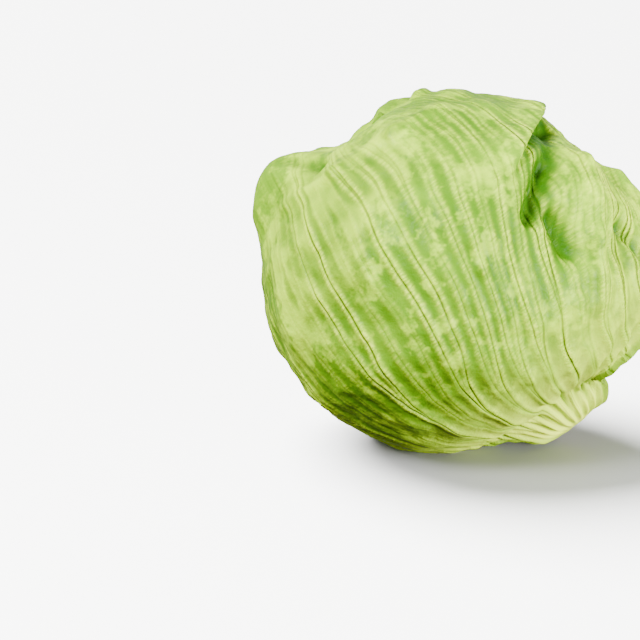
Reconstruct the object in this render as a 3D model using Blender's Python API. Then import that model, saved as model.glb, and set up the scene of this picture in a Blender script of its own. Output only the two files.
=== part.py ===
"""A whole head of crisphead lettuce, lying on its side on a table.

The head is modelled upright: its axis is +Z, its cut stem points down and its centre is the origin.
An empty then tips it over, so that it rests on its belly with the stem low and to the right.
Every leaf is one thin sheet that grows from the stem core and wraps the leaves inside it, like the
layers of an onion. Layer 0 is the outermost leaf. Each layer further in is smaller, and sits a
little lower, because the inner leaves grow from further up the core.
"""

import math

import bmesh
import bpy
import numpy as np

MM = 0.001

# The head as a whole
HEAD_RADIUS = 78 * MM
TIP_OVER = math.radians(42)
HEADING = math.radians(-2)
HEAD_CENTRE = (-4.8 * MM, 2.6 * MM, 75.5 * MM)

# Outline of the head, as shares of its radius; polar angles in degrees from the stem
BUTT_RISE, BUTT_REACH = 0.20, 14.0
NECK_DIP, NECK_POLAR, NECK_REACH = 0.07, 27.0, 11.0
CROWN_DIP, CROWN_REACH = 0.095, 30.0
# (share of the radius, waves over the head, direction, start angle) of each broad swelling
SWELLINGS = (
    (0.010, 2.6, (0.8, 0.2, 0.5), 0.4),
    (0.008, 4.1, (-0.3, 0.9, 0.2), 1.9),
    (0.006, 5.2, (0.4, -0.5, 0.8), 4.4),
)
# (share of the radius, turn, polar, reach) of each broad dent, by the tip and on the upper flank
DENTS = ((0.120, 118, 166, 15), (0.060, 83, 97, 12))

# Layers of leaves
WRAPPERS, HEAD_LEAVES, HEART_LEAVES = 4, 9, 5
LAYERS = WRAPPERS + HEAD_LEAVES + HEART_LEAVES
LAYER_STEP = 3.9 * MM
LAYER_DROP = 0.9 * MM
FIRST_TURN = 0.0
GOLDEN_TURN = 137.5
TIP_LEAN = 30.0
LEAN_FROM = 70.0

# Leaf blades: the midrib is thickest where it joins the core
RIB_THICKNESS = 2.4 * MM
BASE_THICKNESS = 1.5 * MM
BLADE_THICKNESS = 1.2 * MM
EDGE_THICKNESS = 0.8 * MM
HEART_SHARE = 0.55
RIB_HALF_WIDTH, BLADE_FROM, EDGE_WIDTH = 0.28, 0.5, 0.25
RUFFLES = (2.0 * MM, 0.9 * MM, 0.9 * MM, 0.6 * MM)
INNER_RUFFLE = 0.3 * MM
RUFFLE_WIDTH, RUFFLE_FROM, RUFFLE_WAVES, RUFFLE_SLANT = 0.28, 0.3, 17.0, 6.0

# Leaf outlines in degrees: (half width at the core, full half width, polar angles between which it
# widens on one side and on the other, polar angle of the tip, polar angle of its corners, faces
# across, faces along)
WRAPPER_SHAPES = (
    (66, 114, (18, 50), (36, 80), 171, 138, 30, 22),
    (66, 112, (18, 44), (18, 44), 164, 136, 24, 18),
    (66, 110, (18, 58), (18, 58), 160, 134, 16, 14),
    (66, 110, (18, 58), (18, 58), 160, 134, 16, 14),
)
HEAD_SHAPE = (66, 106, (18, 58), (18, 58), 158, 130, 11, 9)
HEART_SHAPE = (66, 100, (18, 58), (18, 58), 154, 128, 9, 7)
CORNER_ROUNDING = 2.4
CLOSER_AT_BASE = 1.3
# The notch in one side of the outermost leaf, where it leaves the stem: (depth, polar angle, reach)
NOTCH = (34, 31, 10)

# Where wrappers stand off the head: (outermost layer it lifts, layers it lifts, turn, polar, reach,
# height in mm). The right flank flares, a lip curls out by the stem, the belly is full, a corner
# stands out by the tip, and the blade is dented.
LIFTS = (
    (0, 2, 74, 50, 26, 14.5),
    (0, 2, 42, 38, 12, 2.5),
    (0, 2, 60, 26, 9, 2.4),
    (1, 1, 40, 30, 6, 3.5),
    (0, 1, -88, 40, 17, 2.4),
    (0, 1, -80, 28, 9, 4.5),
    (0, 1, -94, 162, 12.5, 13.0),
    (0, 1, -86, 149, 7, 4.0),
    (0, 1, 93, 109, 9, 4.0),
    (0, 1, 66, 90, 16, 3.2),
    (0, 1, 41, 85, 7, -3.4),
    (0, 1, 53, 69, 6, -3.0),
    (0, 1, 45, 99, 6, -2.4),
)

# Stem core: (height above the cut face, radius) in mm, and where the cut face is
CUT_FACE = 87 * MM
CORE_PROFILE = ((0, 8.5), (1, 10.8), (3, 12.4), (6.5, 13), (20, 11.2), (42, 7.8), (54, 4.5), (60, 2))
CORE_SIDES = 24
CORE_GAP = 0.5 * MM
# Polar angles that are tried, in order, for where a leaf comes clear of the core
BASE_TRIES = np.linspace(6, 60, 500)


def smooth_step(x):
    """0 below 0, 1 above 1, with a level start and end."""
    x = np.clip(x, 0.0, 1.0)
    return x * x * (3 - 2 * x)


def direction(turn, polar):
    """Unit vector at an angle round the axis and a polar angle from the stem, both in degrees."""
    t, p = np.broadcast_arrays(np.radians(turn), np.radians(polar))
    return np.stack([np.sin(p) * np.cos(t), np.sin(p) * np.sin(t), -np.cos(p)], axis=-1)


def degrees_apart(to, turn, polar):
    """Angle between unit vectors and one place on the head."""
    return np.degrees(np.arccos(np.clip(to @ direction(turn, polar), -1, 1)))


def leaned(vectors, turn, degrees):
    """Vectors carried over the tip of the head, away from the side the leaf grows on."""
    middle = math.radians(turn)
    axis = np.cross((math.cos(middle), math.sin(middle), 0.0), (0.0, 0.0, 1.0))
    a = np.radians(degrees)[..., None]
    along = (vectors @ axis)[..., None] * axis
    return vectors * np.cos(a) + np.cross(axis, vectors) * np.sin(a) + along * (1 - np.cos(a))


def head_surface(to):
    """Distance from the head's centre to its outside, along unit vectors."""
    polar = np.degrees(np.arccos(np.clip(-to[..., 2], -1, 1)))
    share = (
        1
        + BUTT_RISE * np.exp(-((polar / BUTT_REACH) ** 2))
        - NECK_DIP * np.exp(-(((polar - NECK_POLAR) / NECK_REACH) ** 2))
        - CROWN_DIP * np.exp(-(((180 - polar) / CROWN_REACH) ** 2))
    )
    for height, waves, along, start in SWELLINGS:
        share = share + height * np.sin(waves * (to @ np.array(along)) + start)
    for depth, turn, at, reach in DENTS:
        share = share - depth * np.exp(-((degrees_apart(to, turn, at) / reach) ** 2))
    return HEAD_RADIUS * share


def lift_of(layer, to):
    """How far the wrapper leaf of a layer stands off the head along unit vectors."""
    lift = np.zeros(to.shape[:-1])
    for first, layers, turn, polar, reach, height in LIFTS:
        if first <= layer < first + layers:
            apart = degrees_apart(to, turn, polar)
            lift = lift + height * MM * np.exp(-((apart / reach) ** 2))
    return lift


def layer_size(layer):
    """(scale of a layer against the outermost, how far its centre sits below the head's)."""
    return 1 - layer * LAYER_STEP / HEAD_RADIUS, layer * LAYER_DROP


def layer_reach(layer, to, ruffle=0.0):
    """Distance from a layer's own centre to its outside, pressed flat where the head rests."""
    scale, _ = layer_size(layer)
    down = np.array((0.0, -math.sin(TIP_OVER), -math.cos(TIP_OVER)))
    table = HEAD_CENTRE[2] / np.maximum(to @ down, 1e-6)
    return np.minimum(scale * np.minimum(head_surface(to), table) + lift_of(layer, to) + ruffle, table)


def core_radius(below):
    """Radius of the stem core at a distance below the head's centre."""
    heights, radii = zip(*CORE_PROFILE)
    return np.interp((CUT_FACE - below) / MM, heights, radii, right=0.0) * MM


def base_polar(layer, turn, thickness):
    """Polar angle at which a leaf comes clear of the stem core, for each angle round the axis."""
    drop = layer_size(layer)[1]
    reach = layer_reach(layer, direction(turn[..., None], BASE_TRIES))
    radius = reach * np.sin(np.radians(BASE_TRIES))
    below = drop + reach * np.cos(np.radians(BASE_TRIES))
    clear = radius > core_radius(below) + CORE_GAP + thickness[..., None]
    return BASE_TRIES[np.argmax(clear, axis=-1)]


def leaf_thickness(layer, u, v):
    """Thickness over the leaf: a midrib near the core, an even blade, a thin margin."""
    blade = smooth_step(v / BLADE_FROM)
    rib = np.exp(-((u / RIB_HALF_WIDTH) ** 2)) * (1 - blade)
    edge = smooth_step(1 - (1 - np.maximum(np.abs(u), v)) / EDGE_WIDTH) * blade
    thickness = BASE_THICKNESS + (BLADE_THICKNESS - BASE_THICKNESS) * blade
    thickness = thickness + (RIB_THICKNESS - BASE_THICKNESS) * rib
    thickness = thickness + (EDGE_THICKNESS - BLADE_THICKNESS) * edge
    return thickness * (1 - (1 - HEART_SHARE) * layer / (LAYERS - 1))


def ruffle_height(layer, u, v):
    """Outward waves along the margin of a leaf, which die away towards the core."""
    margin = smooth_step(1 - (1 - np.maximum(np.abs(u), v)) / RUFFLE_WIDTH)
    margin = margin * smooth_step(v / RUFFLE_FROM)
    wave = 0.5 + 0.5 * np.sin(RUFFLE_WAVES * v * np.sign(u) + RUFFLE_SLANT * u + layer)
    return (RUFFLES[layer] if layer < WRAPPERS else INNER_RUFFLE) * margin * wave


def leaf_points(layer, turn, outline, u, v):
    """Outer face of a leaf as a grid of points: across the leaf first, then from base to tip."""
    narrow, wide, low_side, high_side, tip, corner = outline
    thickness = leaf_thickness(layer, u[:, 0], 0 * u[:, 0])
    start = base_polar(layer, turn + u[:, 0] * narrow, thickness)[:, None]
    end = tip - (tip - corner) * np.abs(u) ** CORNER_ROUNDING
    polar = start + (end - start) * v
    widen_from, widen_to = np.where(u[..., None] < 0, low_side, high_side).T.swapaxes(1, 2)
    growth = smooth_step((polar - widen_from) / (widen_to - widen_from))
    aside = u * (narrow + (wide - narrow) * growth)
    if layer == 0:
        depth, at, reach = NOTCH
        aside = aside - depth * np.exp(-(((polar - at) / reach) ** 2)) * np.maximum(u, 0) ** 2
    lean = TIP_LEAN * smooth_step((polar - LEAN_FROM) / (180 - LEAN_FROM))
    to = leaned(direction(turn + aside, polar), turn, lean)
    reach = layer_reach(layer, to, ruffle_height(layer, u, v))
    return to * reach[..., None] - (0.0, 0.0, layer_size(layer)[1])


def plain_material(name, colour, roughness):
    material = bpy.data.materials.new(name)
    material.use_nodes = True
    shader = material.node_tree.nodes["Principled BSDF"]
    shader.inputs["Base Color"].default_value = (*map(float, colour), 1.0)
    shader.inputs["Roughness"].default_value = roughness
    return material


def leaf_colour(layer):
    """Green outside, paler and yellower towards the heart."""
    outer, heart = np.array((0.36, 0.56, 0.12)), np.array((0.80, 0.80, 0.34))
    return outer + (heart - outer) * layer / (LAYERS - 1)


def add_object(name, mesh, material, pose):
    piece = bpy.data.objects.new(name, mesh)
    bpy.context.collection.objects.link(piece)
    piece.data.materials.append(material)
    piece.parent = pose
    return piece


def add_leaf(name, layer, shape, pose):
    """One leaf: its outer face as a sheet, given its thickness inwards by Solidify."""
    *outline, across, along = shape
    rows = np.linspace(0, 1, along + 1) ** CLOSER_AT_BASE
    u, v = np.meshgrid(np.linspace(-1, 1, across + 1), rows, indexing="ij")
    points = leaf_points(layer, FIRST_TURN + GOLDEN_TURN * layer, outline, u, v)
    index = np.arange(u.size).reshape(u.shape)
    quads = np.stack([index[:-1, :-1], index[1:, :-1], index[1:, 1:], index[:-1, 1:]], axis=-1)
    mesh = bpy.data.meshes.new(name)
    mesh.from_pydata(points.reshape(-1, 3).tolist(), [], quads.reshape(-1, 4).tolist())
    mesh.shade_smooth()
    leaf = add_object(name, mesh, plain_material(name, leaf_colour(layer), 0.45), pose)

    group = leaf.vertex_groups.new(name="thickness")
    for vertex, thickness in enumerate(leaf_thickness(layer, u, v).ravel()):
        group.add([vertex], float(thickness / RIB_THICKNESS), "REPLACE")
    wall = leaf.modifiers.new("wall", "SOLIDIFY")
    wall.thickness = RIB_THICKNESS
    wall.offset = -1.0
    wall.vertex_group = group.name


def add_core(pose):
    """The stem core: a tapered plug turned about the axis, flat where it was cut."""
    shape = bmesh.new()
    profile = [(0.0, 0.0), *CORE_PROFILE, (CORE_PROFILE[-1][0] + 1.0, 0.0)]
    spots = [shape.verts.new((radius * MM, 0, up * MM - CUT_FACE)) for up, radius in profile]
    edges = [shape.edges.new(pair) for pair in zip(spots, spots[1:])]
    bmesh.ops.spin(
        shape,
        geom=spots + edges,
        cent=(0, 0, 0),
        axis=(0, 0, 1),
        angle=2 * math.pi,
        steps=CORE_SIDES,
        use_merge=True,
    )
    bmesh.ops.remove_doubles(shape, verts=shape.verts, dist=0.01 * MM)
    bmesh.ops.recalc_face_normals(shape, faces=shape.faces)
    mesh = bpy.data.meshes.new("stem_core")
    shape.to_mesh(mesh)
    shape.free()
    mesh.shade_smooth()
    mesh.set_sharp_from_angle(angle=math.radians(50))
    add_object("stem_core", mesh, plain_material("stem_core", (0.86, 0.86, 0.66), 0.5), pose)


def main():
    for old in list(bpy.data.objects):
        bpy.data.objects.remove(old)
    pose = bpy.data.objects.new("laid_down", None)
    bpy.context.collection.objects.link(pose)
    pose.location = HEAD_CENTRE
    pose.rotation_euler = (TIP_OVER, 0, HEADING - math.pi / 2)
    add_core(pose)
    names = [f"wrapper_leaf_{i + 1}" for i in range(WRAPPERS)]
    names += [f"head_leaf_{i + 1}" for i in range(HEAD_LEAVES)]
    names += [f"heart_leaf_{i + 1}" for i in range(HEART_LEAVES)]
    shapes = [*WRAPPER_SHAPES, *[HEAD_SHAPE] * HEAD_LEAVES, *[HEART_SHAPE] * HEART_LEAVES]
    for layer, (name, shape) in enumerate(zip(names, shapes)):
        add_leaf(name, layer, shape, pose)


main()
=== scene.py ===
"""The looks of a whole head of crisphead lettuce, lying on its side on a pale table.

The head is worked out upright: its axis is +Z, its cut stem points down and its centre is the
origin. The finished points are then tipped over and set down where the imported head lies. Every
leaf is one sheet that grows from the stem core and wraps the leaves inside it. A place on the head
is given by its turn round the axis and its polar angle from the stem, both in degrees.
"""

import math

import bpy
import numpy as np
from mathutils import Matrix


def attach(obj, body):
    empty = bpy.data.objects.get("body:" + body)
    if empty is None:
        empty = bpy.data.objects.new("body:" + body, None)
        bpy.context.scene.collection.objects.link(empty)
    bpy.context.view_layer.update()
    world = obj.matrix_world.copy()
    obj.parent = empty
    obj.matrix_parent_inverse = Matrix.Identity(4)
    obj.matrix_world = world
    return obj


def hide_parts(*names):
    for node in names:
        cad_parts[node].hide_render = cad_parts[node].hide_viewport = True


MM = 0.001

# ---------------------------------------------------------------------------- the head as a whole

HEAD_RADIUS = 78 * MM
HEAD_HEIGHT = 75.5 * MM
HEAD_ASIDE = (-4.8 * MM, 2.6 * MM)
TIP_OVER = math.radians(42)
HEADING = math.radians(-2)

# The butt, the neck beside it and the crown: shares of the radius, and degrees of polar angle
BUTT_RISE, BUTT_REACH = 0.20, 14.0
NECK_DIP, NECK_POLAR, NECK_REACH = 0.07, 27.0, 11.0
CROWN_DIP, CROWN_REACH = 0.095, 30.0
# (share of the radius, waves over the head, direction, start angle) of each broad swelling
SWELLINGS = (
    (0.010, 2.6, (0.8, 0.2, 0.5), 0.4),
    (0.008, 4.1, (-0.3, 0.9, 0.2), 1.9),
    (0.006, 5.2, (0.4, -0.5, 0.8), 4.4),
)
# (share of the radius, turn, polar, reach) of each broad dent, by the tip and on the upper flank
DENTS = ((0.120, 118, 166, 15), (0.060, 83, 97, 12))

# ------------------------------------------------------------------------------ layers of leaves

WRAPPERS, HEAD_LEAVES, HEART_LEAVES = 4, 9, 5
LAYERS = WRAPPERS + HEAD_LEAVES + HEART_LEAVES
LAYER_STEP = 3.9 * MM
LAYER_DROP = 0.9 * MM
FIRST_TURN, GOLDEN_TURN = 0.0, 137.5
TIP_LEAN, LEAN_FROM = 30.0, 70.0

RIB_THICKNESS = 2.4 * MM
BASE_THICKNESS = 1.5 * MM
BLADE_THICKNESS = 1.2 * MM
EDGE_THICKNESS = 0.7 * MM
HEART_SHARE = 0.55
RIB_HALF_WIDTH, BLADE_FROM, EDGE_WIDTH = 0.28, 0.5, 0.25

# Leaf outlines in degrees: (half width at the core, full half width, polar angles between which it
# widens on one side and on the other, polar angle of the tip, of its corners, faces across, along)
WRAPPER_SHAPES = (
    (66, 114, (18, 50), (36, 80), 171, 138, 244, 196),
    (66, 112, (18, 44), (18, 44), 164, 136, 220, 140),
    (66, 110, (18, 58), (18, 58), 160, 134, 150, 90),
    (66, 110, (18, 58), (18, 58), 160, 134, 150, 90),
)
HEAD_SHAPE = (66, 106, (18, 58), (18, 58), 158, 130, 90, 60)
HEART_SHAPE = (66, 100, (18, 58), (18, 58), 154, 128, 70, 46)
# (name, how many, shapes, greenness) of each kind of leaf, from the outside in
LEAF_KINDS = (
    ("wrapper_leaf", WRAPPERS, WRAPPER_SHAPES, 1.0),
    ("head_leaf", HEAD_LEAVES, (HEAD_SHAPE,) * HEAD_LEAVES, 0.55),
    ("heart_leaf", HEART_LEAVES, (HEART_SHAPE,) * HEART_LEAVES, 0.1),
)
CORNER_ROUNDING = 2.4
# How far the outermost leaf's margin is cut back near the stem: (angle, polar angle, reach)
NOTCH = (34, 31, 10)

# (outermost layer it lifts, layers it lifts, turn, polar, reach, height in mm)
LIFTS = (
    (0, 2, 74, 50, 26, 14.5),
    (0, 2, 42, 38, 12, 2.5),
    (0, 2, 60, 26, 9, 2.4),
    (1, 1, 40, 30, 6, 3.5),
    (0, 1, -88, 40, 17, 2.4),
    (0, 1, -80, 28, 9, 4.5),
    (0, 1, -94, 162, 12.5, 13.0),
    (0, 1, -86, 149, 7, 4.0),
    (0, 1, 93, 109, 9, 4.0),
    (0, 1, 66, 90, 16, 3.2),
    (0, 1, 41, 85, 7, -3.4),
    (0, 1, 53, 69, 6, -3.0),
    (0, 1, 45, 99, 6, -2.4),
)

# --------------------------------------------------------------------------------- fine relief

# Veins fan out from the base: they lie evenly round the base, and move away from the fan's middle
# by FAN_GROWTH between two polar angles. The fan of the outermost leaf is off the leaf's middle.
VEINS_ACROSS = 11.0
FAN_ASIDE, FAN_GROWTH, FAN_FROM, FAN_TO = -40.0, 0.85, 50.0, 130.0
# A fork starts at a share of the leaf's length, later by chance, and opens over another share of it.
FORK_FROM, FORK_OVER = (0.12, 0.50), (0.24, 0.34)
FORK_DELAY, FORK_OPENING = 0.22, 0.25
# A vein's random share is what is left of CHANCE_SCALE times the sine of CHANCE_STEP times its
# number, plus the leaf's, once the whole part is taken away
CHANCE_STEP, CHANCE_SCALE = 12.9898, 43758.5453
# (size, reach, seed) of the soft random fields that make the veins wander sideways
VEIN_WANDER = ((42 * MM, 4.5 * MM, 40), (13 * MM, 0.7 * MM, 44))
VEIN_RISE, VEIN_WIDTH, VEIN_SIDE = 0.75 * MM, 1.2 * MM, 1.0 * MM
BUTT_RIBS, BUTT_RIB_RISE = 11.0, 1.1 * MM
# How far the base of a leaf sinks into the stem core, and over what share of its length
BASE_SINK, BASE_SHARE = 1.8 * MM, 0.05
# Hollows of the outermost leaf press the layers under it too, less and less down to this one
DENTED_LAYERS = 8
# Frills of the margin: how far in they reach, how high they rise on each wrapper leaf and inside
FRILL_WIDTH = 15 * MM
FRILL_RISE = (4.6 * MM, 2.2 * MM, 1.4 * MM, 0.8 * MM)
INNER_FRILL = 0.4 * MM
# (size, rise) of the swells, blisters and puckers of a blade, each a soft random field
BLADE_NOISE = ((34 * MM, 1.6 * MM), (14 * MM, 1.4 * MM), (7 * MM, 0.7 * MM), (3.5 * MM, 0.3 * MM))
INNER_NOISE = 0.3

# The pleat in the outermost leaf: its two ends as (turn, polar), how far it stands up, laps over and
# drops behind, and the widths of its slope, its lap, its drop and its trough
PLEAT_ENDS = ((96, 110), (44, 106))
PLEAT_RISE, PLEAT_LAP, PLEAT_TROUGH = 4.5 * MM, 5.0 * MM, 8.5 * MM
PLEAT_SLOPE, LAP_WIDTH, DROP_WIDTH, TROUGH_WIDTH = 12 * MM, 3.5 * MM, 2.5 * MM, 14 * MM
# Its sideways bow as (reach, waves, start), and how far past its ends it fades out
PLEAT_BOW, PLEAT_END, PLEAT_FADE = (1.2 * MM, 2.2, 0.6), 1.3, 0.8

# Folds of the outermost leaf: (turn, polar) of both ends, half width and height in mm. The first
# eight lie on the crown. Then come ridges and hollows by the pleat and on the flank, the dip beside
# the stem, and long low ribs. A height below 0 is a hollow.
FOLDS = (
    ((-50, 152), (-3, 150), 4.0, 2.2),
    ((-3, 150), (35, 143), 4.5, 2.0),
    ((35, 143), (60, 137), 4.5, 2.4),
    ((-70, 168), (-15, 163), 4.5, -3.0),
    ((103, 163), (110, 159), 3.4, 5.5),
    ((92, 147), (97, 144), 3.0, 3.0),
    ((101, 151), (104, 155), 3.6, -3.0),
    ((116, 167), (130, 172), 4.6, -3.6),
    ((90, 99), (66, 92), 4.0, 1.2),
    ((66, 92), (48, 76), 5.0, 2.8),
    ((48, 76), (38, 62), 4.5, 2.2),
    ((86, 104), (58, 100), 3.4, -4.5),
    ((55, 99), (38, 94), 4.6, -7.5),
    ((44, 88), (40, 78), 4.6, -5.6),
    ((82, 83), (77, 80), 4.0, -4.2),
    ((60, 73), (63, 58), 3.2, -4.0),
    ((88, 78), (82, 70), 4.5, 4.5),
    ((34, 20), (56, 25), 4.5, -5.0),
    ((22, 108), (15, 94), 2.2, 1.0),
    ((15, 94), (4, 56), 2.2, 1.3),
    ((-6, 100), (-4, 52), 2.0, 0.9),
    ((33, 66), (17, 50), 2.2, 1.2),
)

# (turn, polar, reach, greenness) of the deeper green parts of the head and, below 0, the paler ones.
# They are partly the leaf's own patches and partly painted light and shade, set for how bright each
# part looks: the deep spot at (43, 96) is painted shade in the cavity beside the pleat, and the pale
# patch at (-6, 142) is painted light.
TONES = (
    (50, 131, 15, 0.52),
    (75, 145, 14, 0.20),
    (12, 99, 21, 0.90),
    (-32, 82, 18, 0.75),
    (-35, 62, 20, 0.30),
    (-3, 74, 12, 0.30),
    (34, 74, 12, 0.38),
    (43, 96, 6, 0.80),
    (-6, 142, 20, -0.80),
    (-35, 130, 14, -0.45),
    (-92, 162, 12, 0.25),
    (106, 161, 6, 0.60),
    (66, 95, 10, -0.15),
)

# -------------------------------------------------------------------------------- the stem core

# How far the cut face is below the head's centre, and the core's (height above it, radius) in mm
CUT_FACE = 87 * MM
CORE_PROFILE = ((0, 8.5), (1, 10.8), (3, 12.4), (6.5, 13), (20, 11.2), (42, 7.8), (54, 4.5), (60, 2))
CORE_GAP = 0.5 * MM
CORE_SIDES, CORE_RINGS = 96, 90
# The cut face is uneven inside its edge and browned over its edge: heights above it in mm
CUT_RISE, CUT_WAVE, CUT_EDGE, BROWN_EDGE = 0.25, 5 * MM, 0.6, 1.0

# -------------------------------------------------------------------------------------- colours

# Linear colours of an outer leaf, and of the palest leaf at the heart. Dark, shade and partly deep
# are painted shade: dark in the veins' furrows, shade and deep in hollows and low relief.
LEAF_COLOURS = {
    "pale": ((0.50, 0.78, 0.010), (0.72, 0.76, 0.10)),
    "middle": ((0.165, 0.350, 0.002), (0.52, 0.62, 0.04)),
    "deep": ((0.055, 0.170, 0.0006), (0.34, 0.46, 0.015)),
    "cream": ((0.78, 0.95, 0.07), (0.80, 0.84, 0.20)),
    "dark": ((0.04, 0.105, 0.002), (0.40, 0.48, 0.04)),
    "shade": ((0.022, 0.105, 0.0004), (0.30, 0.42, 0.010)),
}
FLESH, FLESH_DEEP = (0.66, 0.68, 0.24, 1.0), (0.54, 0.60, 0.14, 1.0)
VESSELS, BROWNED = (0.38, 0.40, 0.08, 1.0), (0.34, 0.22, 0.06, 1.0)
TABLE_WHITE = (0.30, 0.30, 0.297, 1.0)

# ------------------------------------------------------------------------------ camera and light

# The room's light rises from the first strength to the second, over a range of the direction's
# share along ROOM_UP. To the camera alone it is brighter, as a white backdrop.
ROOM_LIGHT, ROOM_RANGE, ROOM_UP = (0.15, 1.0), (-0.45, 0.65), (0.15, 0.30, 0.94)
BACKDROP_LIGHT = 7.0
# Soft light that falls on the table only: strength, spread, and tilt about X and Y
TABLE_LIGHT, TABLE_LIGHT_SPREAD = 84.0, math.radians(50)
TABLE_LIGHT_TILT = (-math.radians(14), -math.radians(30), 0)
TABLE_REACH, TABLE_DROP = 60.0, 0.4 * MM
# (name, place, point it faces, side, watts) of each square lamp
LAMPS = (
    ("window", (-0.70, -0.65, 0.82), (0, 0, 0.08), 0.45, 42.0),
    ("side_window", (0.80, -0.65, 0.14), (0.05, 0, 0.04), 0.4, 34.0),
)
CAMERA_FROM_HEAD = (-0.0521, -0.6370, 0.1371)
CAMERA_TILT = math.radians(14)
LENS = 85.0
CLIP = (0.01, 200.0)


def smooth_step(x):
    """0 below 0, 1 above 1, with a level start and end."""
    x = np.clip(x, 0.0, 1.0)
    return x * x * (3 - 2 * x)


def bell(x):
    """1 at 0, falling away on both sides as exp(-x squared)."""
    return np.exp(-(x**2))


def soft_noise(points, size, seed):
    """Smooth random field from -1 to 1: random values on a cubic lattice, blended by smooth steps."""
    place = points / size + 50.0 + 7.3 * seed
    cell = np.floor(place).astype(np.int64)
    part = smooth_step(place - cell)
    values = np.random.default_rng(seed).uniform(-1, 1, 4096)
    total = np.zeros(points.shape[:-1])
    for corner in np.ndindex(2, 2, 2):
        share = np.prod(np.where(np.array(corner) == 1, part, 1 - part), axis=-1)
        total = total + share * values[(cell + corner) @ np.array((73, 1790, 28307)) % 4096]
    return total


def direction(turn, polar):
    """Unit vector at an angle round the axis and a polar angle from the stem, both in degrees."""
    t, p = np.broadcast_arrays(np.radians(turn), np.radians(polar))
    return np.stack([np.sin(p) * np.cos(t), np.sin(p) * np.sin(t), -np.cos(p)], axis=-1)


def degrees_apart(to, turn, polar):
    """Angle between unit vectors and one place on the head."""
    return np.degrees(np.arccos(np.clip(to @ direction(turn, polar), -1, 1)))


def leaned(vectors, turn, degrees):
    """Vectors carried over the tip of the head, away from the side the leaf grows on."""
    middle = math.radians(turn)
    axis = np.cross((math.cos(middle), math.sin(middle), 0.0), (0.0, 0.0, 1.0))
    a = np.radians(degrees)[..., None]
    along = (vectors @ axis)[..., None] * axis
    return vectors * np.cos(a) + np.cross(axis, vectors) * np.sin(a) + along * (1 - np.cos(a))


def head_surface(to):
    """Distance from the head's centre to its outside: a sphere with a butt, a neck and a crown."""
    polar = np.degrees(np.arccos(np.clip(-to[..., 2], -1, 1)))
    share = (
        1
        + BUTT_RISE * bell(polar / BUTT_REACH)
        - NECK_DIP * bell((polar - NECK_POLAR) / NECK_REACH)
        - CROWN_DIP * bell((180 - polar) / CROWN_REACH)
    )
    for height, waves, along, start in SWELLINGS:
        share = share + height * np.sin(waves * (to @ np.array(along)) + start)
    for depth, turn, at, reach in DENTS:
        share = share - depth * bell(degrees_apart(to, turn, at) / reach)
    return HEAD_RADIUS * share


def lift_of(layer, to):
    """How far the wrapper leaf of a layer stands off the head along unit vectors."""
    lift = np.zeros(to.shape[:-1])
    for first, layers, turn, polar, reach, height in LIFTS:
        if first <= layer < first + layers:
            lift = lift + height * MM * bell(degrees_apart(to, turn, polar) / reach)
    return lift


def layer_size(layer):
    """(scale of a layer against the outermost, how far its centre sits below the head's)."""
    return 1 - layer * LAYER_STEP / HEAD_RADIUS, layer * LAYER_DROP


def table_reach(to):
    """Distance from the head's centre to the table along unit vectors."""
    down = np.array((0.0, -math.sin(TIP_OVER), -math.cos(TIP_OVER)))
    return HEAD_HEIGHT / np.maximum(to @ down, 1e-6)


def layer_reach(layer, to):
    """Distance from a layer's own centre to its outside, pressed flat where the head rests."""
    scale, _ = layer_size(layer)
    table = table_reach(to)
    return np.minimum(scale * np.minimum(head_surface(to), table) + lift_of(layer, to), table)


def core_radius(below):
    """Radius of the stem core at a distance below the head's centre."""
    heights, radii = zip(*CORE_PROFILE)
    return np.interp((CUT_FACE - below) / MM, heights, radii, right=0.0) * MM


def base_polar(layer, turn, thickness):
    """Polar angle at which a leaf comes clear of the stem core, for each angle round the axis."""
    drop = layer_size(layer)[1]
    tries = np.linspace(6, 60, 1000)
    reach = layer_reach(layer, direction(turn[..., None], tries))
    radius = reach * np.sin(np.radians(tries))
    below = drop + reach * np.cos(np.radians(tries))
    clear = radius > core_radius(below) + CORE_GAP + thickness[..., None]
    return tries[np.argmax(clear, axis=-1)]


def leaf_thickness(layer, u, v):
    """Thickness over the leaf: a midrib near the core, an even blade, a thin margin."""
    blade = smooth_step(v / BLADE_FROM)
    rib = bell(u / RIB_HALF_WIDTH) * (1 - blade)
    edge = smooth_step(1 - (1 - np.maximum(np.abs(u), v)) / EDGE_WIDTH) * blade
    thickness = BASE_THICKNESS + (BLADE_THICKNESS - BASE_THICKNESS) * blade
    thickness = thickness + (RIB_THICKNESS - BASE_THICKNESS) * rib
    thickness = thickness + (EDGE_THICKNESS - BLADE_THICKNESS) * edge
    return thickness * (1 - (1 - HEART_SHARE) * layer / (LAYERS - 1))


def vein_phase(layer, aside, polar, radius):
    """(phase, metres per unit of phase): a count of veins across the blade, whole on each vein.

    The phase is the angle from the fan's middle, divided by the fan's growth at that polar angle.
    Its gradient has a part across the blade and, where the fan widens, a part along it.
    """
    share = (polar - FAN_FROM) / (FAN_TO - FAN_FROM)
    growth = 1 + FAN_GROWTH * smooth_step(share)
    inside = np.clip(share, 0, 1)
    slope = FAN_GROWTH * 6 * inside * (1 - inside) / math.radians(FAN_TO - FAN_FROM)
    middle = FAN_ASIDE if layer == 0 else 0.0
    phase = VEINS_ACROSS * (aside - middle) / (90.0 * growth)
    across = VEINS_ACROSS / (math.radians(90) * growth * np.maximum(np.sin(np.radians(polar)), 0.1))
    along = phase * slope / growth
    return phase, radius / np.hypot(across, along)


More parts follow.
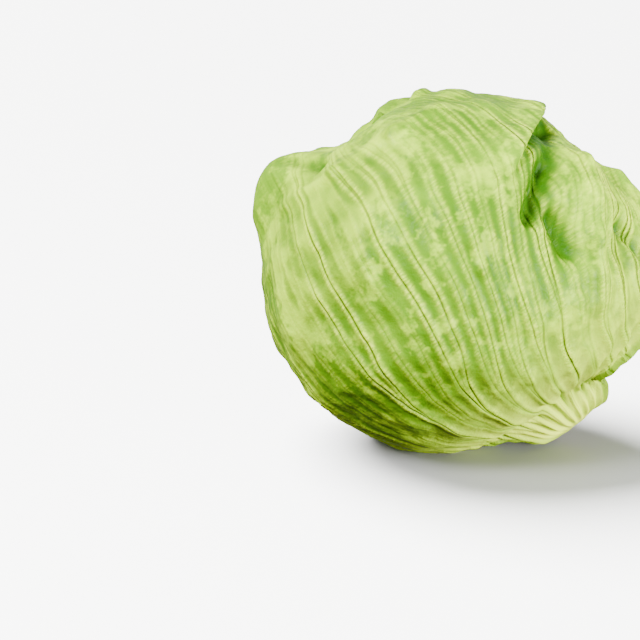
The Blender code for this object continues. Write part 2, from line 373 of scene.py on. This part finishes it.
def vein_distance(phase, along, pitch, seed):
    """(distance in metres to the nearest vein, negative between a fork's arms; its random share).

    Veins start evenly spaced, at whole numbers of phase. Each forks twice on its way to the tip: a
    fork moves its two arms apart, from 0 to a quarter and then to an eighth of the first spacing.
    """
    line = np.round(phase)
    chance = np.sin(line * CHANCE_STEP + seed) * CHANCE_SCALE
    chance = chance - np.floor(chance)
    aside = np.abs(phase - line)
    for number, (start, over) in enumerate(zip(FORK_FROM, FORK_OVER)):
        opened = smooth_step((along - start - FORK_DELAY * chance) / over)
        aside = np.abs(aside) - opened * FORK_OPENING / (number + 1)
    return aside * pitch, chance


def pleat_shape(to):
    """(rise, lap) of the pleat: the leaf climbs to a sharp edge, laps over it, and drops behind.

    One coordinate runs along the pleat, the other across it. The rise grows slowly up to the edge
    and falls quickly to a trough, which fills again; the lap pushes the edge out over the trough.
    Both are strongest at the pleat's first end and fade out past its ends.
    """
    first, second = direction(*PLEAT_ENDS[0]), direction(*PLEAT_ENDS[1])
    middle = (first + second) / np.linalg.norm(first + second)
    length_way = second - first
    half_length = np.linalg.norm(length_way) / 2
    length_way = length_way / (2 * half_length)
    across_way = np.cross(middle, length_way)
    run = (to - middle) @ length_way / half_length
    bow, waves, start = PLEAT_BOW
    across = (to - middle) @ across_way * HEAD_RADIUS + bow * np.sin(waves * run + start)
    near_side = to @ middle > 0.3
    taper = near_side * smooth_step((PLEAT_END - np.abs(run)) / PLEAT_FADE)
    taper = taper * (0.6 - 0.4 * np.clip(run, -1, 1))
    dropped = smooth_step(across / DROP_WIDTH)
    before = smooth_step(1 + across / PLEAT_SLOPE) ** 1.5 * (1 - dropped)
    behind = smooth_step(1 - across / TROUGH_WIDTH) * dropped
    rise = taper * (PLEAT_RISE * before - PLEAT_TROUGH * behind)
    lap = taper * PLEAT_LAP * bell(np.minimum(across, 0) / LAP_WIDTH) * (1 - dropped)
    return rise, lap[..., None] * across_way


def fold_height(to):
    """Sum of the folds: each falls away as a bell with the distance from the line between its ends."""
    place = to * HEAD_RADIUS
    total = np.zeros(to.shape[:-1])
    for first, second, width, height in FOLDS:
        start, end = direction(*first) * HEAD_RADIUS, direction(*second) * HEAD_RADIUS
        share = np.clip((place - start) @ (end - start) / ((end - start) @ (end - start)), 0, 1)
        gap = np.linalg.norm(place - start - share[..., None] * (end - start), axis=-1)
        total = total + height * MM * bell(gap / (width * MM))
    return total


def blade_noise(layer, to):
    """Swells, blisters and puckers of a blade: soft random fields, the larger the higher."""
    total = np.zeros(to.shape[:-1])
    place = to * HEAD_RADIUS * layer_size(layer)[0]
    for number, (size, rise) in enumerate(BLADE_NOISE):
        total = total + rise * soft_noise(place, size, 60 + 20 * number + layer)
    return total if layer == 0 else INNER_NOISE * total


def frill(layer, to, edge):
    """Outward lobes and small waves along the margin; edge is the distance in from the margin."""
    rise = FRILL_RISE[layer] if layer < WRAPPERS else INNER_FRILL
    depth = smooth_step(1 - edge / FRILL_WIDTH)
    lobes = soft_noise(to * HEAD_RADIUS, 14 * MM, 3 + layer)
    waves = soft_noise(to * HEAD_RADIUS, 5 * MM, 23 + layer)
    return rise * depth * (depth * (0.45 + 0.8 * lobes) + 0.3 * waves * depth**2 + 0.1)


def green_tone(to):
    """How much deeper green, or paler below 0, the leaf is along unit vectors, painted light and shade
    included.
    """
    return sum(amount * bell(degrees_apart(to, turn, at) / reach) for turn, at, reach, amount in TONES)


def leaf_places(layer, shape):
    """Where the points of a leaf's grid lie, as unit vectors from its layer's centre.

    u runs across the leaf from -1 to 1 and v from its base to its tip. The leaf starts where it comes
    clear of the stem core. Each side widens smoothly between two polar angles, the corners are cut
    back by a power of u, and the leaf leans over the tip of the head. Angles are in degrees: aside is
    the angle from the leaf's middle, and length the polar angle from its base to its tip.
    """
    narrow, wide, low_side, high_side, tip, corner, across, rows = shape
    turn = FIRST_TURN + GOLDEN_TURN * layer
    u, v = np.meshgrid(np.linspace(-1, 1, across + 1), np.linspace(0, 1, rows + 1), indexing="ij")
    thickness = leaf_thickness(layer, u[:, 0], 0 * u[:, 0])
    start = base_polar(layer, turn + u[:, 0] * narrow, thickness)[:, None]
    end = tip - (tip - corner) * np.abs(u) ** CORNER_ROUNDING
    polar = start + (end - start) * v
    widen_from, widen_to = np.where(u[..., None] < 0, low_side, high_side).T.swapaxes(1, 2)
    widened = smooth_step((polar - widen_from) / (widen_to - widen_from))
    half_width = narrow + (wide - narrow) * widened
    aside = u * half_width
    if layer == 0:
        depth, at, reach = NOTCH
        aside = aside - depth * bell((polar - at) / reach) * np.maximum(u, 0) ** 2
    lean = TIP_LEAN * smooth_step((polar - LEAN_FROM) / (180 - LEAN_FROM))
    to = leaned(direction(turn + aside, polar), turn, lean)
    return u, v, to, aside, polar, half_width, end - start


def vein_relief(layer, u, v, phase, pitch, wander):
    """Height of the veins, strongest near the base, plus a wave across u for the ribs of the butt."""
    gap, chance = vein_distance(phase, v, pitch, layer)
    strong = smooth_step(v / 0.06) * (1 - 0.75 * smooth_step((v - 0.35) / 0.4)) * (0.35 + chance)
    veins = VEIN_RISE * bell((gap - VEIN_SIDE) / VEIN_WIDTH) * strong
    butt = smooth_step(v / 0.04) * (1 - smooth_step((v - 0.1) / 0.35))
    return veins + BUTT_RIB_RISE * butt * np.sin(BUTT_RIBS * math.pi * u + wander / MM)


def leaf_surface(layer, shape):
    """Outer face of a leaf as a grid of points, with what its material follows.

    Each point lies along its unit vector, at the layer's reach plus the relief: veins, puckers,
    frills, the pleat and the folds. The base sinks into the core, and nothing goes past the table.
    """
    u, v, to, aside, polar, half_width, length = leaf_places(layer, shape)
    scale, drop = layer_size(layer)
    radius = layer_reach(layer, to)
    spread = radius * np.sin(np.radians(polar)) * np.radians(half_width)
    edge = np.minimum((1 - np.abs(u)) * spread, (1 - v) * np.radians(length) * radius)

    phase, pitch = vein_phase(layer, aside, polar, radius)
    place = to * HEAD_RADIUS * scale
    wander = sum(reach * soft_noise(place, size, seed + layer) for size, reach, seed in VEIN_WANDER)
    phase = phase + wander / pitch * smooth_step(v / 0.2)
    relief = vein_relief(layer, u, v, phase, pitch, wander)
    relief = relief + blade_noise(layer, to) * smooth_step((v - 0.05) / 0.3)
    relief = relief + frill(layer, to, edge)
    rise, shift = pleat_shape(to)
    folded = rise + fold_height(to)
    if layer > 0:
        folded = np.minimum(folded, 0.0) * np.maximum(1 - layer / DENTED_LAYERS, 0)
        shift = 0.0 * shift
    relief = relief + folded

    sunk = relief - BASE_SINK * (1 - smooth_step(v / BASE_SHARE))
    reach = np.minimum(radius + sunk, table_reach(to))
    points = to * reach[..., None] + shift - (0.0, 0.0, drop)
    values = {"pitch": pitch / MM, "edge": edge / MM, "relief": relief / MM}
    # The tone is partly the leaf's own patches and partly painted light and shade, see TONES.
    values["tone"] = green_tone(to)
    return points, u, v, phase, values


def laid_down(points):
    """Points of the upright head, tipped over by TIP_OVER, turned to HEADING and set on the table."""
    c, s = math.cos(TIP_OVER), math.sin(TIP_OVER)
    tip = np.array(((1, 0, 0), (0, c, -s), (0, s, c)))
    c, s = math.cos(HEADING - math.pi / 2), math.sin(HEADING - math.pi / 2)
    heading = np.array(((c, -s, 0), (s, c, 0), (0, 0, 1)))
    placed = points @ (heading @ tip).T + (*HEAD_ASIDE, HEAD_HEIGHT)
    placed[..., 2] = np.maximum(placed[..., 2], 0.0)
    return placed


def grid_faces(rows, columns, closed=False):
    """Quads of a grid of points, the first index outermost; closed joins its last row to its first."""
    index = np.arange(rows * columns).reshape(rows, columns)
    if closed:
        index = np.concatenate([index, index[:1]])
    quads = np.stack([index[:-1, :-1], index[1:, :-1], index[1:, 1:], index[:-1, 1:]], axis=-1)
    return quads.reshape(-1, 4)


def mesh_piece(name, points, faces):
    """A smooth-shaded mesh object at the origin."""
    mesh = bpy.data.meshes.new(name)
    mesh.from_pydata(points.reshape(-1, 3).tolist(), [], faces.tolist())
    mesh.shade_smooth()
    piece = bpy.data.objects.new(name, mesh)
    bpy.context.collection.objects.link(piece)
    return piece


def add_uv(mesh, name, x, y):
    """A UV map whose two coordinates are given for each point."""
    corner = np.empty(len(mesh.loops), np.int32)
    mesh.loops.foreach_get("vertex_index", corner)
    layer = mesh.uv_layers.new(name=name)
    layer.data.foreach_set("uv", np.stack([x.ravel()[corner], y.ravel()[corner]], axis=-1).ravel())


def add_value(mesh, name, values):
    """A number for each point, which materials read as an attribute."""
    mesh.attributes.new(name, "FLOAT", "POINT").data.foreach_set("value", values.ravel())


def add_leaf(name, node, layer, shape, material):
    """One leaf: its outer face as a fine sheet, given its thickness inwards by Solidify."""
    points, u, v, phase, values = leaf_surface(layer, shape)
    leaf = mesh_piece(name, laid_down(points), grid_faces(*u.shape))
    add_uv(leaf.data, "blade", phase, v)
    for value_name, value in values.items():
        add_value(leaf.data, value_name, value)
    leaf.data.materials.append(material)
    group = leaf.vertex_groups.new(name="thickness")
    shares = leaf_thickness(layer, u, v).ravel() / RIB_THICKNESS
    for level in np.unique(np.round(shares, 2)):
        group.add(np.flatnonzero(np.round(shares, 2) == level).tolist(), float(level), "REPLACE")
    wall = leaf.modifiers.new("wall", "SOLIDIFY")
    wall.thickness = RIB_THICKNESS
    wall.offset = -1.0
    wall.vertex_group = group.name
    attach(leaf, "root")
    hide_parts(node)


# ------------------------------------------------------------------------------------ materials


class Nodes:
    """Short calls to build the node tree of a material or of the world."""

    def __init__(self, owner):
        """Takes a new material or world and turns its nodes on."""
        owner.use_nodes = True
        self.owner = owner
        self.tree = owner.node_tree
        self.shader = self.tree.nodes.get("Principled BSDF")

    def put(self, socket, value):
        """Links a node's output to a socket, or sets the socket to a plain value."""
        if isinstance(value, bpy.types.NodeSocket):
            self.tree.links.new(value, socket)
        else:
            socket.default_value = value

    def set(self, **values):
        """Sets inputs of the shader, named with _ for each space."""
        for name, value in values.items():
            self.put(self.shader.inputs[name.replace("_", " ")], value)

    def math(self, operation, *values):
        """One operation on numbers."""
        node = self.tree.nodes.new("ShaderNodeMath")
        node.operation = operation
        for socket, value in zip(node.inputs, values):
            self.put(socket, value)
        return node.outputs[0]

    def times(self, *values):
        """Product of all the values."""
        product = values[0]
        for value in values[1:]:
            product = self.math("MULTIPLY", product, value)
        return product

    def add(self, *values):
        """Sum of all the values."""
        total = values[0]
        for value in values[1:]:
            total = self.math("ADD", total, value)
        return total

    def span(self, value, low, high, to_low=0.0, to_high=1.0):
        """Value carried smoothly from the range low to high into another range, and held there."""
        node = self.tree.nodes.new("ShaderNodeMapRange")
        node.interpolation_type = "SMOOTHSTEP"
        for socket, given in zip(node.inputs, (value, low, high, to_low, to_high)):
            self.put(socket, given)
        return node.outputs["Result"]

    def bell(self, value, width):
        """exp(-(value / width) squared)."""
        share = self.math("DIVIDE", value, width)
        return self.math("EXPONENT", self.times(share, share, -1.0))

    def mix(self, factor, first, second):
        """The first colour at factor 0, the second at factor 1."""
        node = self.tree.nodes.new("ShaderNodeMix")
        node.data_type = "RGBA"
        colours = [socket for socket in node.inputs if socket.type == "RGBA"]
        for socket, given in zip((node.inputs["Factor"], *colours), (factor, first, second)):
            self.put(socket, given)
        return next(socket for socket in node.outputs if socket.type == "RGBA")

    def noise(self, place, scale, detail=2.0, rough=0.5, stretch=(1, 1, 1)):
        """Soft random value, about 0.5, of a place."""
        mapping = self.tree.nodes.new("ShaderNodeMapping")
        self.put(mapping.inputs["Vector"], place)
        self.put(mapping.inputs["Scale"], stretch)
        node = self.tree.nodes.new("ShaderNodeTexNoise")
        self.put(node.inputs["Vector"], mapping.outputs[0])
        self.put(node.inputs["Scale"], scale)
        self.put(node.inputs["Detail"], detail)
        self.put(node.inputs["Roughness"], rough)
        return node.outputs["Fac"]

    def object_place(self):
        """The place on the object, in metres."""
        return self.tree.nodes.new("ShaderNodeTexCoord").outputs["Object"]

    def uv(self, name):
        """The coordinates of a named UV map."""
        node = self.tree.nodes.new("ShaderNodeUVMap")
        node.uv_map = name
        return node.outputs[0]

    def value(self, name):
        """A number stored on the mesh."""
        node = self.tree.nodes.new("ShaderNodeAttribute")
        node.attribute_name = name
        return node.outputs["Fac"]

    def split(self, vector):
        """The three parts of a vector."""
        node = self.tree.nodes.new("ShaderNodeSeparateXYZ")
        self.put(node.inputs[0], vector)
        return node.outputs

    def bump(self, height, strength, distance):
        """A normal bent by a height."""
        node = self.tree.nodes.new("ShaderNodeBump")
        self.put(node.inputs["Height"], height)
        self.put(node.inputs["Strength"], strength)
        self.put(node.inputs["Distance"], distance)
        return node.outputs[0]


def vein_nodes(nodes, seed):
    """The same forking veins as vein_distance, as nodes: (signed mm to one, v, its random share)."""
    phase, along, _ = nodes.split(nodes.uv("blade"))
    line = nodes.math("ROUND", phase)
    chance = nodes.math("SINE", nodes.add(nodes.times(line, CHANCE_STEP), float(seed)))
    chance = nodes.math("FRACT", nodes.times(chance, CHANCE_SCALE))
    aside = nodes.math("ABSOLUTE", nodes.math("SUBTRACT", phase, line))
    for number, (start, over) in enumerate(zip(FORK_FROM, FORK_OVER)):
        begin = nodes.add(nodes.times(chance, FORK_DELAY), start)
        opened = nodes.span(nodes.math("SUBTRACT", along, begin), 0.0, over)
        step = nodes.times(opened, FORK_OPENING / (number + 1))
        aside = nodes.math("SUBTRACT", nodes.math("ABSOLUTE", aside), step)
    return nodes.times(aside, nodes.value("pitch")), along, chance


def blade_colour(nodes, colours, gap, along):
    """Colour before veins: pale and green patches, green cells between veins, shade painted in dips,
    cream base.
    """
    place, blade = nodes.object_place(), nodes.uv("blade")
    relief, green = nodes.value("relief"), nodes.value("tone")
    patch = nodes.noise(place, 20.0, 2.0, 0.5)
    mottle = nodes.times(nodes.noise(place, 75.0, 3.0, 0.6), 0.5)
    fine = nodes.times(nodes.noise(place, 230.0, 2.0, 0.6), 0.35)
    # The tone is partly the leaf's own patches and partly painted light and shade, see TONES.
    light = nodes.add(patch, mottle, fine, nodes.times(green, 0.5))
    colour = nodes.mix(nodes.span(light, 0.82, 0.98, 1.0, 0.0), colours["middle"], colours["pale"])
    colour = nodes.mix(nodes.span(green, 0.1, 0.6, 0.0, 0.6), colour, colours["deep"])

    cells = nodes.span(nodes.noise(blade, 1.0, 2.0, 0.5, (1.6, 7.0, 1.0)), 0.44, 0.58)
    between = nodes.span(nodes.math("ABSOLUTE", gap), 0.8, 2.4)
    cells = nodes.times(cells, between, nodes.span(along, 0.12, 0.32), 0.6)
    colour = nodes.mix(cells, colour, colours["deep"])
    blotches = nodes.span(nodes.noise(place, 58.0, 1.0, 0.4), 0.50, 0.62)
    blotches = nodes.times(blotches, nodes.span(along, 0.2, 0.4), 0.55)
    colour = nodes.mix(blotches, colour, colours["deep"])
    flecks = nodes.span(nodes.noise(place, 105.0, 3.0, 0.65), 0.52, 0.66)
    flecks = nodes.times(flecks, nodes.span(along, 0.1, 0.3), 0.55)
    colour = nodes.mix(flecks, colour, colours["pale"])
    # Painted shade: deeper green where the relief is low, in dips and folds.
    colour = nodes.mix(nodes.span(relief, -3.5, 1.0, 1.0, 0.0), colour, colours["deep"])

    ridges = nodes.span(relief, -1.8, 0.2, 0.75, 1.0)
    base = nodes.times(nodes.span(along, 0.04, 0.42, 1.0, 0.0), ridges)
    colour = nodes.mix(base, colour, colours["cream"])
    near_base = nodes.times(nodes.span(along, 0.05, 0.14), nodes.span(along, 0.2, 0.5, 1.0, 0.0))
    channels = nodes.times(nodes.bell(gap, 1.3), near_base, 0.6)
    return nodes.mix(channels, colour, colours["middle"])


def vein_strengths(nodes, gap, along, chance):
    """Strength of a vein's dark line (painted shade in its furrow), the pale band beside it, its
    crimps.
    """
    blade = nodes.uv("blade")
    strength = nodes.times(nodes.span(along, 0.02, 0.12), nodes.span(along, 0.60, 0.95, 1.0, 0.15))
    broken = nodes.span(nodes.noise(blade, 1.0, 2.0, 0.5, (2.0, 9.0, 1.0)), 0.3, 0.62, 0.25, 1.0)
    shown = nodes.times(strength, broken)
    line = nodes.times(nodes.bell(gap, 0.32), shown, nodes.span(chance, 0.1, 0.9, 0.1, 1.0))
    beside = nodes.bell(nodes.math("SUBTRACT", gap, VEIN_SIDE / MM), 1.15)
    band = nodes.times(beside, shown, nodes.span(chance, 0.0, 0.8, 0.35, 1.0))
    crimps = nodes.noise(blade, 1.0, 2.0, 0.65, (3.5, 240.0, 1.0))
    return line, band, crimps


def leaf_material(name, layer, greenness):
    """Waxy leaf: mottled green blade, cream base, pale crimped vein bands; painted shade in furrows and
    hollows.
    """
    nodes = Nodes(bpy.data.materials.new(name))
    colours = {
        key: (*(np.array(green) * greenness + np.array(heart) * (1 - greenness)), 1.0)
        for key, (green, heart) in LEAF_COLOURS.items()
    }
    gap, along, chance = vein_nodes(nodes, layer)
    line, band, crimps = vein_strengths(nodes, gap, along, chance)
    colour = blade_colour(nodes, colours, gap, along)
    colour = nodes.mix(nodes.times(band, 0.6), colour, colours["pale"])
    crests = nodes.times(band, nodes.span(crimps, 0.45, 0.62), 0.6)
    colour = nodes.mix(crests, colour, colours["cream"])
    # Painted shade: a thin dark line in the furrow of each vein, which the bump also presses in.
    colour = nodes.mix(nodes.times(line, 0.9), colour, colours["dark"])
    # Painted shade: dark green in the hollows of the relief, such as the pleat's trough and the folds.
    hollows = nodes.span(nodes.value("relief"), -4.8, -1.6, 0.9, 0.0)
    colour = nodes.mix(hollows, colour, colours["shade"])
    margin = nodes.span(nodes.value("edge"), 0.3, 10.0, 0.7, 0.0)
    colour = nodes.mix(margin, colour, colours["middle"])

    place = nodes.object_place()
    grain = nodes.noise(place, 700.0, 2.0, 0.6)
    puckers = nodes.times(nodes.noise(place, 260.0, 3.0, 0.55), 0.6)
    veins = nodes.add(nodes.times(line, -0.6), nodes.times(band, crimps, 0.9))
    height = nodes.add(nodes.times(grain, 0.15), veins, puckers)
    nodes.set(
        Base_Color=colour,
        Roughness=nodes.span(grain, 0.3, 0.7, 0.34, 0.48),
        Normal=nodes.bump(height, 1.0, 1.0 * MM),
        Subsurface_Weight=0.08,
        Subsurface_Radius=(0.6, 1.0, 0.1),
        Subsurface_Scale=2.5 * MM,
        Specular_IOR_Level=0.08,
    )
    return nodes.owner


def core_material():
    """Cut stem: cream flesh with a ring of darker vessels near the rim, browned where it was cut."""
    nodes = Nodes(bpy.data.materials.new("stem_flesh"))
    place, cut = nodes.object_place(), nodes.value("cut")
    flecks = nodes.noise(place, 500.0, 3.0, 0.6)
    clouds = nodes.noise(place, 90.0, 3.0, 0.6)
    colour = nodes.mix(clouds, FLESH, FLESH_DEEP)
    ring = nodes.bell(nodes.math("SUBTRACT", nodes.value("radius"), 9.6), 1.1)
    colour = nodes.mix(nodes.times(ring, cut, 0.5), colour, VESSELS)
    brown = nodes.span(nodes.add(clouds, flecks), 0.9, 1.25)
    colour = nodes.mix(nodes.times(brown, cut, 0.7), colour, BROWNED)
    nodes.set(
        Base_Color=colour,
        Roughness=nodes.span(flecks, 0.3, 0.7, 0.4, 0.6),
        Normal=nodes.bump(nodes.add(flecks, clouds), 0.5, 0.5 * MM),
        Subsurface_Weight=0.2,
        Subsurface_Radius=(1.0, 0.9, 0.4),
        Subsurface_Scale=3.0 * MM,
    )
    return nodes.owner


def add_core():
    """The stem core: its profile turned about the axis, with a slightly uneven, flat cut face."""
    heights, radii = np.array([(0.0, 0.0), *CORE_PROFILE, (CORE_PROFILE[-1][0] + 1.0, 0.0)]).T
    travel = np.concatenate([[0], np.cumsum(np.hypot(np.diff(heights), np.diff(radii)))])
    steps = np.linspace(0, travel[-1], CORE_RINGS)
    height, radius = np.interp(steps, travel, heights), np.interp(steps, travel, radii)
    radius[0] = radius[-1] = 0.0
    turn = np.linspace(0, 2 * math.pi, CORE_SIDES, endpoint=False)[:, None]
    grid = (CORE_SIDES, CORE_RINGS)
    across = (radius * np.cos(turn), radius * np.sin(turn))
    points = np.stack([*across, np.broadcast_to(height, grid)], axis=-1)
    points[..., 2] += CUT_RISE * soft_noise(points * MM, CUT_WAVE, 11) * (height < CUT_EDGE)
    points[..., 2] -= CUT_FACE / MM
    core = mesh_piece("cut_stem_core", laid_down(points * MM), grid_faces(*grid, closed=True))
    add_value(core.data, "radius", np.broadcast_to(radius, grid))
    add_value(core.data, "cut", np.broadcast_to((height < BROWN_EDGE) * 1.0, grid))
    core.data.materials.append(core_material())
    weld = core.modifiers.new("closed_poles", "WELD")
    weld.merge_threshold = 0.01 * MM
    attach(core, "root")
    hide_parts("stem_core")


# --------------------------------------------------------------------------------- surroundings


def add_floor():
    """A wide pale table top. Diffuse and glossy rays pass it by, so it doesn't light the head."""
    corners = np.array([(-1, -1, 0), (1, -1, 0), (1, 1, 0), (-1, 1, 0)]) * TABLE_REACH
    floor = mesh_piece("table_top", corners - (0, 0, TABLE_DROP), np.array([[0, 1, 2, 3]]))
    nodes = Nodes(bpy.data.materials.new("white_table"))
    nodes.set(Base_Color=TABLE_WHITE, Roughness=0.65)
    floor.data.materials.append(nodes.owner)
    floor.visible_diffuse = False
    floor.visible_glossy = False
    return floor


def add_lamp(name, place, aim, size, power):
    """A square soft light that faces a point."""
    lamp = bpy.data.lights.new(name, "AREA")
    lamp.shape = "SQUARE"
    lamp.size = size
    lamp.energy = power
    light = bpy.data.objects.new(name, lamp)
    bpy.context.collection.objects.link(light)
    light.location = place
    way = np.subtract(aim, place)
    tilt = math.atan2(math.hypot(way[0], way[1]), -way[2])
    light.rotation_euler = (tilt, 0, math.atan2(way[1], way[0]) - math.pi / 2)


def add_table_daylight(floor):
    """Soft daylight from above, a little behind and left. It falls on the table only."""
    lamp = bpy.data.lights.new("table_daylight", "SUN")
    lamp.energy = TABLE_LIGHT
    lamp.angle = TABLE_LIGHT_SPREAD
    light = bpy.data.objects.new("table_daylight", lamp)
    light.rotation_euler = TABLE_LIGHT_TILT
    bpy.context.collection.objects.link(light)
    lit = bpy.data.collections.new("lit_by_table_daylight")
    lit.objects.link(floor)
    light.light_linking.receiver_collection = lit


def add_world():
    """A white room: bright overhead and a little behind, dim near the floor, white to the camera."""
    world = bpy.data.worlds.new("white_room")
    bpy.context.scene.world = world
    nodes = Nodes(world)
    up = nodes.tree.nodes.new("ShaderNodeVectorMath")
    up.operation = "DOT_PRODUCT"
    nodes.put(up.inputs[0], nodes.tree.nodes.new("ShaderNodeTexCoord").outputs["Generated"])
    nodes.put(up.inputs[1], ROOM_UP)
    strength = nodes.span(up.outputs["Value"], *ROOM_RANGE, *ROOM_LIGHT)
    seen = nodes.tree.nodes.new("ShaderNodeLightPath").outputs["Is Camera Ray"]
    background = nodes.tree.nodes["Background"]
    nodes.put(background.inputs["Color"], (1.0, 1.0, 1.0, 1.0))
    nodes.put(background.inputs["Strength"], nodes.math("MULTIPLY_ADD", seen, BACKDROP_LIGHT, strength))


def add_camera():
    """The camera looks along +Y and down, with the head to the right of the middle."""
    data = bpy.data.cameras.new("camera")
    data.lens = LENS
    data.clip_start, data.clip_end = CLIP
    camera = bpy.data.objects.new("camera", data)
    bpy.context.collection.objects.link(camera)
    camera.location = np.add(CAMERA_FROM_HEAD, (*HEAD_ASIDE, HEAD_HEIGHT))
    camera.rotation_euler = (math.pi / 2 - CAMERA_TILT, 0, 0)
    bpy.context.scene.camera = camera


def add_leaves():
    """Every leaf with its own material, from the outside in."""
    layer = 0
    for kind, count, shapes, greenness in LEAF_KINDS:
        for number in range(count):
            node = f"{kind}_{number + 1}"
            material = leaf_material(f"{node}_skin", layer, greenness)
            add_leaf(f"{node}_blade", node, layer, shapes[number], material)
            layer += 1


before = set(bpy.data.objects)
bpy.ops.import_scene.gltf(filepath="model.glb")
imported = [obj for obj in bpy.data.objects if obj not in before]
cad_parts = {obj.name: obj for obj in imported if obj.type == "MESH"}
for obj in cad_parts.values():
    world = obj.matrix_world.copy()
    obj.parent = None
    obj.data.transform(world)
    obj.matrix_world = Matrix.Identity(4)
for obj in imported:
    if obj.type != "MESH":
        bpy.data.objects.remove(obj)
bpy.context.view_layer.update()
add_camera()
add_world()
add_table_daylight(add_floor())
for lamp in LAMPS:
    add_lamp(*lamp)
add_core()
add_leaves()
